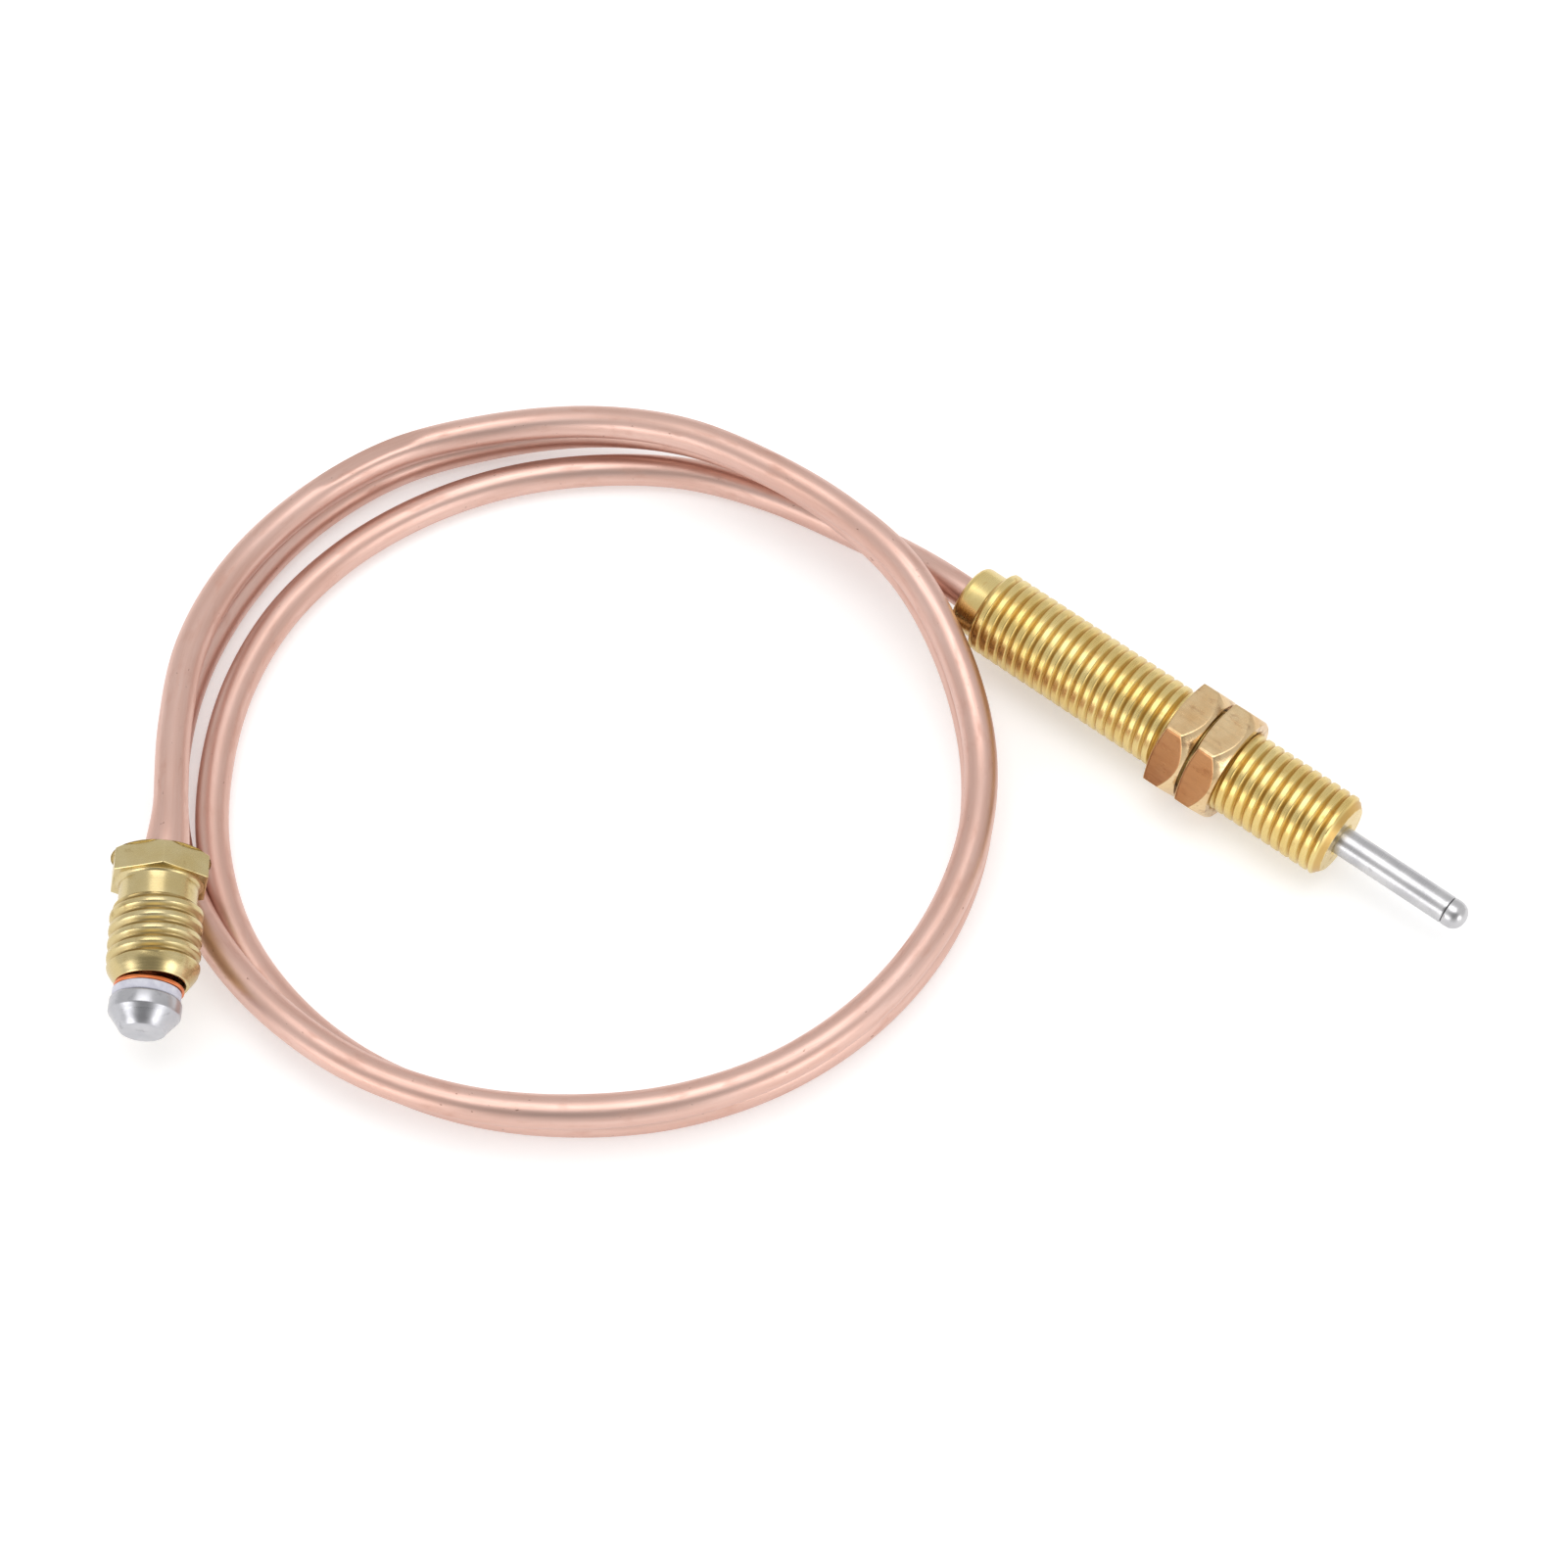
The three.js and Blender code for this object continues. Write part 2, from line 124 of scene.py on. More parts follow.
def direction(azimuth, elevation):
    """The unit vector towards a camera or light; azimuth 0 is towards -Y and 90 towards +X."""
    a, e = math.radians(azimuth), math.radians(elevation)
    return Vector((math.sin(a) * math.cos(e), -math.cos(a) * math.cos(e), math.sin(e)))


def make_camera():
    camera = bpy.data.objects.new("camera", bpy.data.cameras.new("camera"))
    bpy.context.scene.collection.objects.link(camera)
    back = direction(VIEW_AZIMUTH, VIEW_ELEVATION)
    camera.location = VIEW_TARGET + back * VIEW_DISTANCE
    camera.rotation_mode = "QUATERNION"
    camera.rotation_quaternion = (-back).to_track_quat("-Z", "Y")
    camera.data.lens = VIEW_LENS
    camera.data.sensor_width = 36.0
    camera.data.clip_start = 0.01
    camera.data.clip_end = 20.0
    bpy.context.scene.camera = camera


make_camera()


# ---------------------------------------------------------------- lead route, as the CAD has it

LEAD_RADIUS = 1.5
COIL_CENTRE = (-44.45, -34.42)
COIL_FIRST_ANGLE = 218.6
COIL_STATION = 30
COIL_RADII = [
    35.8, 37.1, 36.9, 34.6, 32.5, 33.7, 35.6, 36.2, 36.2, 35.7, 36.4, 36.8,
    37.0, 37.1, 37.2, 35.7, 34.1, 34.3, 35.5, 36.1, 35.7, 35.0, 35.0, 34.5,
    33.0, 32.5, 31.9, 32.3, 33.9,
]
COIL_END = 840
COIL_STEP = 15
FLOOR_LAYER = 1.6
SECOND_LAYER = 4.75
CROSSING_LIFT = 3.75
NUT_RISE = 4.2
LEAD_START = 9.3  # stations along the contact's axis, from the union nut's flange
LEAD_MIDDLE = 2.0
FERRULE_REAR = -5.4
LEAD_END = -7.0
EXIT_POINTS = [
    (-39.5, 0.75, 1.95),
    (-35.0, 0.75, 3.1),
    (-31.0, 0.3, 4.4),
    (HEAD_REAR, 0.0, AXIS_HEIGHT),
    (-21.0, 0.0, AXIS_HEIGHT),
    (LEAD_END, 0.0, AXIS_HEIGHT),
]
RINGS_PER_POINT = 12


def smooth_step(start, end, value):
    t = min(max((value - start) / (end - start), 0.0), 1.0)
    return t * t * (3 - 2 * t)


def coil_radius(travelled):
    place = travelled / COIL_STATION
    index = math.floor(place)
    f = place - index
    a, b, c, d = (
        COIL_RADII[min(max(index + i, 0), len(COIL_RADII) - 1)] for i in (-1, 0, 1, 2))
    return 0.5 * (
        2 * b + (c - a) * f + (2 * a - 5 * b + 4 * c - d) * f * f + (3 * b - a - 3 * c + d) * f ** 3)


def coil_height(travelled):
    in_turn = travelled % 360
    lift = 0.0
    if travelled < 600:
        lift = smooth_step(68, 118, in_turn) * (1 - smooth_step(150, 178, in_turn))
    drop = smooth_step(317, 354, travelled) * (SECOND_LAYER - FLOOR_LAYER)
    rise = NUT_RISE * (1 - smooth_step(-14, 46, travelled))
    return SECOND_LAYER - drop + rise + CROSSING_LIFT * lift


def coil_point(travelled):
    angle = math.radians(COIL_FIRST_ANGLE - travelled)
    radius = coil_radius(travelled)
    return (
        COIL_CENTRE[0] + radius * math.cos(angle),
        COIL_CENTRE[1] + radius * math.sin(angle),
        coil_height(travelled),
    )


def centripetal_curve(points, per_point):
    """Points along the centripetal Catmull-Rom curve through the given ones."""
    padded = [2 * points[0] - points[1], *points, 2 * points[-1] - points[-2]]
    line = []
    for a, b, c, d in zip(padded, padded[1:], padded[2:], padded[3:]):
        before, within, after = (math.sqrt((q - p).length) for p, q in ((a, b), (b, c), (c, d)))
        leave = ((b - a) / before - (c - a) / (before + within) + (c - b) / within) * within
        arrive = ((c - b) / within - (d - b) / (within + after) + (d - c) / after) * within
        for i in range(per_point):
            t = i / per_point
            line.append(
                b * (2 * t ** 3 - 3 * t ** 2 + 1) + leave * (t ** 3 - 2 * t ** 2 + t)
                + c * (3 * t ** 2 - 2 * t ** 3) + arrive * (t ** 3 - t ** 2))
    line.append(points[-1].copy())
    return line


def lead_line():
    """The lead's centreline in metres, from inside the union nut to inside the head."""
    points = [CONTACT_FRAME @ Vector((x * MM, 0, 0)) for x in (LEAD_START, LEAD_MIDDLE, FERRULE_REAR)]
    for travelled in range(0, COIL_END + 1, COIL_STEP):
        points.append(Vector(coil_point(travelled)) * MM)
    points.extend(Vector(p) * MM for p in EXIT_POINTS)
    return centripetal_curve(points, RINGS_PER_POINT)


# ---------------------------------------------------------------- mesh building

def finish_mesh(name, graph, material, body, place=None, sharp=38.0):
    """Turns a bmesh in millimetres into a smooth piece that rides on a body."""
    bmesh.ops.remove_doubles(graph, verts=graph.verts, dist=0.002)
    bmesh.ops.dissolve_degenerate(graph, dist=0.0015, edges=graph.edges)
    bmesh.ops.recalc_face_normals(graph, faces=graph.faces)
    for vertex in graph.verts:
        vertex.co *= MM
    mesh = bpy.data.meshes.new(name)
    graph.to_mesh(mesh)
    graph.free()
    mesh.polygons.foreach_set("use_smooth", [True] * len(mesh.polygons))
    mesh.set_sharp_from_angle(angle=math.radians(sharp))
    mesh.materials.append(material)
    piece = bpy.data.objects.new(name, mesh)
    bpy.context.scene.collection.objects.link(piece)
    if place is not None:
        piece.matrix_world = place
    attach(piece, body)
    return piece


def swept_round(name, angles, outline, material, body, place, groove=None, sharp=38.0):
    """A closed solid round X: outline(angle) gives the same number of (x, radius) points at every angle.

    groove(x, radius), where given, is stored on the points for the material to read."""
    graph = bmesh.new()
    depth = graph.verts.layers.float.new("groove")
    columns = []
    for angle in angles:
        column = []
        for x, radius in outline(angle):
            vertex = graph.verts.new((x, radius * math.cos(angle), radius * math.sin(angle)))
            vertex[depth] = groove(x, radius) if groove else 0.0
            column.append(vertex)
        columns.append(column)
    for here, there in zip(columns, columns[1:]):
        for i in range(len(here)):
            j = (i + 1) % len(here)
            graph.faces.new((here[i], there[i], there[j], here[j]))
    return finish_mesh(name, graph, material, body, place, sharp)


def full_turn(count):
    return [TAU * i / count for i in range(count + 1)]


def arc(centre_x, centre_r, radius, start, end, count):
    """Points of a rounding in an outline; angle 0 points along +X and 90 outward."""
    points = []
    for i in range(count + 1):
        angle = math.radians(start + (end - start) * i / count)
        points.append((centre_x + radius * math.cos(angle), centre_r + radius * math.sin(angle)))
    return points


# ---------------------------------------------------------------- threads

def groove_shape(phase, width):
    """0 on a thread's crest and 1 at its root, both rounded; width is the groove's share of the pitch."""
    away = abs(phase - round(phase)) * 2 / width
    return smooth_step(0.0, 1.0, 1.0 - away)


def thread_rows(angle, start, end, pitch, crest, depth, width, limit, steps=16):
    """A right-hand thread's outline at one angle: rows that follow the helix, cut off square at both ends.

    limit(x) is the largest radius the thread may have at x, where an end is chamfered."""
    rows = []
    turns = math.ceil((end - start) / pitch)
    for k in range(-steps, turns * steps + 1):
        x = start + pitch * (k / steps + angle / TAU)
        x = min(max(x, start), end)
        phase = (x - start) / pitch - angle / TAU
        rows.append((x, min(crest - depth * groove_shape(phase, width), limit(x))))
    return rows


# ---------------------------------------------------------------- hexagons

def hex_angles():
    """Angles round a hexagon, close together where its corners are rounded."""
    near = [0.0, 0.5, 1.0, 1.5, 2.0, 2.6, 3.4, 5.0, 8.0, 12.0, 17.0, 23.0]
    offsets = sorted({-x for x in near} | set(near) | {30.0})
    return [math.radians(60 * i + x) for i in range(6) for x in offsets] + [math.radians(360 + offsets[0])]


def hex_radius(angle, across_flats, rounding):
    """How far a hexagon with a corner at angle 0 and rounded corners reaches at an angle."""
    inner = across_flats / 2
    off = abs((math.degrees(angle) + 30) % 60 - 30)
    flat = inner / math.cos(math.radians(30 - off))
    corner = (inner - rounding) / math.cos(math.radians(30))
    across = corner * math.sin(math.radians(off))
    if across >= rounding:
        return flat
    round_reach = corner * math.cos(math.radians(off)) + math.sqrt(rounding ** 2 - across ** 2)
    return min(flat, round_reach)


def chamfer_rows(face_x, reach, face_radius, slope, inward, edge=0.07):
    """The rows from a nut's face circle over its chamfer to its side; inward is +1 or -1 along X.

    slope is the tangent of the chamfer's angle, and edge the size of the rounding where it meets the side."""
    depth = (reach - face_radius) * slope
    run = max(reach - face_radius, 0.01)
    lift = min(edge, run * 0.3)
    side = face_x + inward * depth
    return [
        (face_x, face_radius - 0.12),
        (face_x, face_radius),
        (face_x + inward * 0.1 * slope, face_radius + 0.1),
        (side - inward * lift * slope, reach - lift),
        (side + inward * edge * 0.35, reach - lift * 0.25),
        (side + inward * edge * 1.4, reach),
        (side + inward * edge * 3.2, reach),
    ]


# ---------------------------------------------------------------- materials

class Nodes:
    """A short way to write a material's node tree."""

    def __init__(self, name):
        self.material = bpy.data.materials.new(name)
        self.material.use_nodes = True
        self.tree = self.material.node_tree
        self.shader = self.tree.nodes["Principled BSDF"]

    def add(self, kind, settings=None, **inputs):
        node = self.tree.nodes.new(kind)
        for key, value in (settings or {}).items():
            setattr(node, key, value)
        for key, value in inputs.items():
            self.put(node.inputs[key.replace("_", " ")], value)
        return node

    def put(self, socket, value):
        if isinstance(value, bpy.types.NodeSocket):
            self.tree.links.new(value, socket)
        else:
            socket.default_value = value

    def scaled(self, coordinates, scale):
        node = self.add("ShaderNodeMapping", Vector=coordinates)
        node.inputs["Scale"].default_value = scale
        return node.outputs["Vector"]

    def noise(self, coordinates, scale, detail=3.0, roughness=0.55, distortion=0.0):
        node = self.add(
            "ShaderNodeTexNoise", Vector=coordinates, Scale=scale, Detail=detail,
            Roughness=roughness, Distortion=distortion)
        return node.outputs["Fac"]

    def spots(self, coordinates, scale, low, high, detail=2.0):
        """Noise cut to separate patches, 0 between them and 1 in them."""
        return self.ramp(self.noise(coordinates, scale, detail), low, high)

    def ramp(self, value, low, high, start=0.0, end=1.0):
        node = self.add("ShaderNodeMapRange", {"clamp": True}, Value=value)
        node.inputs["From Min"].default_value = low
        node.inputs["From Max"].default_value = high
        node.inputs["To Min"].default_value = start
        node.inputs["To Max"].default_value = end
        return node.outputs["Result"]

    def mix(self, factor, first, second, blend="MIX"):
        node = self.add("ShaderNodeMix", {"data_type": "RGBA", "blend_type": blend})
        self.put(node.inputs["Factor"], factor)
        self.put(node.inputs[6], first)
        self.put(node.inputs[7], second)
        return node.outputs[2]

    def math(self, operation, first, second):
        node = self.add("ShaderNodeMath", {"operation": operation})
        self.put(node.inputs[0], first)
        self.put(node.inputs[1], second)
        return node.outputs[0]

    def bump(self, height, distance, strength=1.0):
        node = self.add("ShaderNodeBump", Height=height, Distance=distance, Strength=strength)
        self.put(self.shader.inputs["Normal"], node.outputs["Normal"])


def linear(red, green, blue):
    """A colour given as 0 to 255 display values."""
    def one(value):
        value /= 255
        return value / 12.92 if value <= 0.04045 else ((value + 0.055) / 1.055) ** 2.4
    return one(red), one(green), one(blue), 1.0


def turned_metal(name, colour, shade, stain, roughness, ring_scale=9000.0, stain_share=0.62):
    """Bright metal off a lathe: fine rings round X, slow colour drift, stains, and painted shade in the thread
    grooves.
    """
    nodes = Nodes(name)
    place = nodes.add("ShaderNodeTexCoord").outputs["Object"]
    rings = nodes.noise(nodes.scaled(place, (1.0, 0.03, 0.03)), ring_scale, 4.0, 0.7)
    drift = nodes.noise(place, 260.0, 3.0)
    stains = nodes.spots(place, 950.0, stain_share, stain_share + 0.14, 4.0)
    groove = nodes.add("ShaderNodeAttribute", {"attribute_name": "groove"}).outputs["Fac"]
    body = nodes.mix(nodes.ramp(drift, 0.35, 0.65), colour, shade)
    body = nodes.mix(nodes.math("MULTIPLY", stains, 0.5), body, stain)
    # Painted shade: the thread grooves are darkened towards the stain colour, most at the root.
    body = nodes.mix(nodes.ramp(groove, 0.55, 1.0, 0.0, 0.55), body, stain)
    nodes.put(nodes.shader.inputs["Base Color"], body)
    rough = nodes.ramp(rings, 0.3, 0.7, roughness - 0.05, roughness + 0.06)
    rough = nodes.math("ADD", rough, nodes.math("MULTIPLY", stains, 0.12))
    rough = nodes.math("ADD", rough, nodes.math("MULTIPLY", groove, 0.08))
    nodes.put(nodes.shader.inputs["Roughness"], rough)
    nodes.shader.inputs["Metallic"].default_value = 1.0
    height = nodes.math("ADD", rings, nodes.math("MULTIPLY", drift, 0.6))
    nodes.bump(height, 0.000002, 0.4)
    return nodes.material


def drawn_metal(name, colour, shade, stain, roughness, painted_facet_reflection=None):
    """Hexagon bar stock: scratches and dark streaks along X, with smudges.

    The last colour, where given, is painted on the one flat that faces -Y and up: a painted reflection of the
    copper coil and its shadow."""
    nodes = Nodes(name)
    place = nodes.add("ShaderNodeTexCoord").outputs["Object"]
    streaks = nodes.noise(nodes.scaled(place, (0.12, 1.0, 1.0)), 3200.0, 4.0, 0.65)
    drift = nodes.noise(place, 330.0, 3.0)
    smudges = nodes.spots(nodes.scaled(place, (0.55, 1.0, 1.0)), 900.0, 0.56, 0.72, 4.0)
    body = nodes.mix(nodes.ramp(drift, 0.35, 0.65), colour, shade)
    body = nodes.mix(nodes.ramp(streaks, 0.5, 0.75, 0.0, 0.45), body, shade)
    # Painted reflection: the flat facing -Y and up is mixed towards a brown that stands for the copper coil and
    # its shadow seen in it.
    if painted_facet_reflection:
        normal = nodes.add("ShaderNodeTexCoord").outputs["Normal"]
        aim = nodes.add("ShaderNodeVectorMath", {"operation": "DOT_PRODUCT"})
        nodes.put(aim.inputs[0], normal)
        aim.inputs[1].default_value = (0.0, -math.cos(math.radians(30)), math.sin(math.radians(30)))
        body = nodes.mix(nodes.ramp(aim.outputs["Value"], 0.97, 0.995, 0.0, 0.9), body, painted_facet_reflection)
    body = nodes.mix(nodes.math("MULTIPLY", smudges, 0.6), body, stain)
    nodes.put(nodes.shader.inputs["Base Color"], body)
    rough = nodes.ramp(streaks, 0.3, 0.7, roughness - 0.05, roughness + 0.08)
    rough = nodes.math("ADD", rough, nodes.math("MULTIPLY", smudges, 0.1))
    nodes.put(nodes.shader.inputs["Roughness"], rough)
    nodes.shader.inputs["Metallic"].default_value = 1.0
    nodes.bump(streaks, 0.000003, 0.4)
    return nodes.material


def copper_tube():
    """Annealed copper: drawn lines along the tube, slow colour drift, small nicks and dull patches."""
    nodes = Nodes("satin_copper")
    along = nodes.add("ShaderNodeAttribute", {"attribute_name": "along"}).outputs["Vector"]
    place = nodes.add("ShaderNodeTexCoord").outputs["Object"]
    lines = nodes.noise(nodes.scaled(along, (0.045, 1.0, 1.0)), 2.6, 4.0, 0.65)
    drift = nodes.noise(nodes.scaled(along, (0.25, 1.0, 1.0)), 0.32, 3.0)
    patches = nodes.spots(nodes.scaled(along, (0.35, 1.0, 1.0)), 0.85, 0.56, 0.74, 4.0)
    nicks = nodes.spots(nodes.scaled(along, (0.45, 1.0, 1.0)), 3.1, 0.72, 0.78, 2.0)
    body = nodes.mix(
        nodes.ramp(drift, 0.35, 0.65), linear(222, 188, 176), linear(214, 176, 162))
    body = nodes.mix(nodes.ramp(lines, 0.45, 0.8, 0.0, 0.3), body, linear(196, 148, 130))
    body = nodes.mix(nodes.math("MULTIPLY", patches, 0.3), body, linear(190, 138, 118))
    body = nodes.mix(nodes.math("MULTIPLY", nicks, 0.65), body, linear(112, 66, 50))
    nodes.put(nodes.shader.inputs["Base Color"], body)
    rough = nodes.ramp(lines, 0.3, 0.7, 0.36, 0.46)
    rough = nodes.math("ADD", rough, nodes.math("MULTIPLY", patches, 0.1))
    nodes.put(nodes.shader.inputs["Roughness"], rough)
    nodes.shader.inputs["Metallic"].default_value = 1.0
    grain = nodes.noise(place, 2400.0, 2.0)
    height = nodes.math("ADD", lines, nodes.math("MULTIPLY", grain, 0.4))
    height = nodes.math("SUBTRACT", height, nodes.math("MULTIPLY", nicks, 0.9))
    nodes.bump(height, 0.000012, 0.6)
    return nodes.material


def braided_fibre():
    """Insulation woven from glass strands."""
    nodes = Nodes("glass_braid")
    place = nodes.add("ShaderNodeTexCoord").outputs["Object"]
    strands = nodes.add(
        "ShaderNodeTexWave", {"bands_direction": "DIAGONAL"}, Vector=place, Scale=2600.0,
        Distortion=1.5).outputs["Fac"]
    body = nodes.mix(strands, linear(232, 226, 208), linear(196, 186, 162))
    nodes.put(nodes.shader.inputs["Base Color"], body)
    nodes.put(nodes.shader.inputs["Roughness"], nodes.ramp(strands, 0.0, 1.0, 0.75, 0.95))
    nodes.bump(strands, 0.00005, 0.7)
    return nodes.material


def washer_fibre():
    """The pale washer behind the contact: matt, faintly mottled."""
    nodes = Nodes("pale_washer")
    place = nodes.add("ShaderNodeTexCoord").outputs["Object"]
    mottle = nodes.noise(place, 1500.0, 4.0)
    body = nodes.mix(nodes.ramp(mottle, 0.35, 0.7), linear(214, 214, 224), linear(190, 190, 204))
    nodes.put(nodes.shader.inputs["Base Color"], body)
    nodes.put(nodes.shader.inputs["Roughness"], nodes.ramp(mottle, 0.3, 0.7, 0.42, 0.6))
    nodes.bump(mottle, 0.00002, 0.5)
    return nodes.material


yellow_brass = turned_metal(
    "yellow_brass", linear(222, 200, 138), linear(216, 188, 118), linear(182, 132, 60), 0.28)
# The nut brass's last colour is the painted reflection of the copper coil and its shadow on one flat of each lock
# nut.
nut_brass = drawn_metal(
    "nut_brass", linear(222, 196, 154), linear(208, 172, 124), linear(128, 80, 48), 0.2,
    linear(152, 104, 66))
olive_brass = turned_metal(
    "olive_brass", linear(208, 192, 147), linear(200, 180, 128), linear(150, 120, 66), 0.26)
tinned = turned_metal(
    "tinned_contact", linear(198, 197, 200), linear(180, 180, 184), linear(130, 130, 134), 0.3,
    5000.0, 0.6)
hot_steel = turned_metal(
    "hot_tip_steel", linear(200, 199, 200), linear(176, 175, 178), linear(120, 116, 118), 0.3)
constantan = drawn_metal(
    "constantan", linear(196, 184, 164), linear(176, 164, 144), linear(120, 110, 96), 0.3)
copper = copper_tube()
copper_fitting = turned_metal(
    "copper_fitting", linear(232, 142, 92), linear(220, 122, 74), linear(130, 66, 36), 0.34)
glass_braid = braided_fibre()
washer_pale = washer_fibre()


# ---------------------------------------------------------------- the lead

LEAD_SIDES = 32
FLARE_START = 9.0  # distances along the lead from the union nut's flange, back towards the coil
FLARE_END = 2.2
FERRULE_COVER = 1.6  # nearer than this the lead is inside the ferrule and keeps its own radius
FLARE_RADIUS = 1.98
PRESS_MARK = (50.0, 62.0)  # degrees travelled round the coil, where a press mark flattens the tube
PRESS_SLOPE = 3.0
PRESS_DEPTH = 0.3
PRESS_REACH = 100.0  # the mark is on the outer strand only, within this distance of the flange
PRESS_FACING = 0.3  # the mark flattens the part of the tube that faces it at least this much
PRESS_LEAN = 0.25  # how far the mark leans away from the coil's middle


def ring_frames(line):
    """Two directions across the line at each point, carried along it without twisting."""
    frames = []
    side = Vector((0, 0, 1))
    for i, point in enumerate(line):
        ahead = (line[min(i + 1, len(line) - 1)] - line[max(i - 1, 0)]).normalized()
        side = (side - ahead * side.dot(ahead)).normalized()
        frames.append((side.copy(), ahead.cross(side)))
    return frames


def press_window(point):
    """1 on the press mark and 0 off it, with short slopes at its ends."""
    x = point.x / MM - COIL_CENTRE[0]
    y = point.y / MM - COIL_CENTRE[1]
    travelled = (COIL_FIRST_ANGLE - math.degrees(math.atan2(y, x))) % 360
    start, end = PRESS_MARK
    rise = smooth_step(start - PRESS_SLOPE, start, travelled)
    return rise * (1 - smooth_step(end, end + PRESS_SLOPE, travelled))


def flared_radius(behind):
    """The lead's radius at a distance behind the union nut's flange."""
    if behind < FERRULE_COVER:
        return LEAD_RADIUS
    flare = 1 - smooth_step(FLARE_END, FLARE_START, behind)
    return LEAD_RADIUS + (FLARE_RADIUS - LEAD_RADIUS) * flare


def make_lead():
    """The copper tube's skin, and its centreline."""
    line = lead_line()
    frames = ring_frames(line)
    graph = bmesh.new()
    along = graph.verts.layers.float_vector.new("along")
    rings = []
    travelled = 0.0
    for i, point in enumerate(line):
        if i:
            travelled += (point - line[i - 1]).length / MM
        behind = travelled - LEAD_START
        radius = flared_radius(behind)
        mark = press_window(point) if behind < PRESS_REACH else 0.0
        side, across = frames[i]
        out = Vector((point.x / MM - COIL_CENTRE[0], point.y / MM - COIL_CENTRE[1], 0)).normalized()
        press = (out * PRESS_LEAN + Vector((0, 0, 1))).normalized()
        ring = []
        for k in range(LEAD_SIDES):
            angle = TAU * k / LEAD_SIDES
            ray = side * math.cos(angle) + across * math.sin(angle)
            reach = radius
            facing = ray.dot(press)
            if facing > PRESS_FACING and mark > 0:
                reach = min(reach, (radius - PRESS_DEPTH * mark) / facing)
            vertex = graph.verts.new(point / MM + ray * reach)
            vertex[along] = (travelled, LEAD_RADIUS * math.cos(angle), LEAD_RADIUS * math.sin(angle))
            ring.append(vertex)
        rings.append(ring)
    for here, there in zip(rings, rings[1:]):
        for k in range(LEAD_SIDES):
            j = (k + 1) % LEAD_SIDES
            graph.faces.new((here[k], here[j], there[j], there[k]))
    graph.faces.new(rings[0])
    graph.faces.new(list(reversed(rings[-1])))
    lead = finish_mesh("copper_lead", graph, copper, "head_and_lead")
    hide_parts("lead_tube")
    return lead, line


lead, lead_path = make_lead()


# ---------------------------------------------------------------- the head

COLLAR_LENGTH = 2.4
COLLAR_RADIUS = 3.15
COLLAR_ROUNDING = 0.6
LEAD_ENTRY = 1.62
LEAD_ENTRY_CHAMFER = 0.15
LEAD_ENTRY_DEPTH = 3.0
SLEEVE_PITCH = 1.0
SLEEVE_DEPTH = 0.27
SLEEVE_GROOVE = 0.56
SLEEVE_COLUMNS = 144
SLEEVE_FACE_WIDTH = 0.9
SLEEVE_MOUTH_CHAMFER = 0.25
SLEEVE_MOUTH_DEPTH = 2.0
TIP_CLEARANCE = 0.06


def make_sleeve():
    thread_start = HEAD_REAR + COLLAR_LENGTH
    mouth = TIP_RADIUS + TIP_CLEARANCE

    def end_chamfer(x):
        rear = COLLAR_RADIUS + 0.15 + (x - thread_start) * 1.6
        front = SLEEVE_CREST - 0.75 + (SLEEVE_FRONT - x) * 1.1
        return min(rear, front)

    def outline(angle):
        rows = [(HEAD_REAR + LEAD_ENTRY_DEPTH, LEAD_ENTRY)]
        rows += [(HEAD_REAR + LEAD_ENTRY_CHAMFER, LEAD_ENTRY)]
        rows += [(HEAD_REAR, LEAD_ENTRY + LEAD_ENTRY_CHAMFER)]
        rows += arc(
            HEAD_REAR + COLLAR_ROUNDING, COLLAR_RADIUS - COLLAR_ROUNDING, COLLAR_ROUNDING, 180, 90, 8)
        rows += [(thread_start - 0.1, COLLAR_RADIUS), (thread_start, COLLAR_RADIUS + 0.02)]
        rows += thread_rows(
            angle, thread_start, SLEEVE_FRONT, SLEEVE_PITCH, SLEEVE_CREST, SLEEVE_DEPTH,
            SLEEVE_GROOVE, end_chamfer)
        rows += [(SLEEVE_FRONT, mouth + SLEEVE_FACE_WIDTH)]
        rows += [(SLEEVE_FRONT, mouth + SLEEVE_MOUTH_CHAMFER)]
        rows += [(SLEEVE_FRONT - SLEEVE_MOUTH_CHAMFER, mouth)]
        rows += [(SLEEVE_FRONT - SLEEVE_MOUTH_DEPTH, mouth)]
        return rows

    def groove(x, radius):
        if not thread_start < x < SLEEVE_FRONT:
            return 0.0
        return min(max((SLEEVE_CREST - radius) / SLEEVE_DEPTH, 0.0), 1.0)

    sleeve = swept_round(
        "threaded_head", full_turn(SLEEVE_COLUMNS), outline, yellow_brass, "head_and_lead",
        HEAD_FRAME, groove)
    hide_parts("threaded_sleeve")


TIP_SIDES = 64
TIP_WALL = 0.2
TIP_INSIDE_SLEEVE = 3.0
TUBE_END = HEAD_TIP - 1.84
WELD_START = HEAD_TIP - 1.8
WELD_BLUNTNESS = 1.25
WELD_ROWS = 10


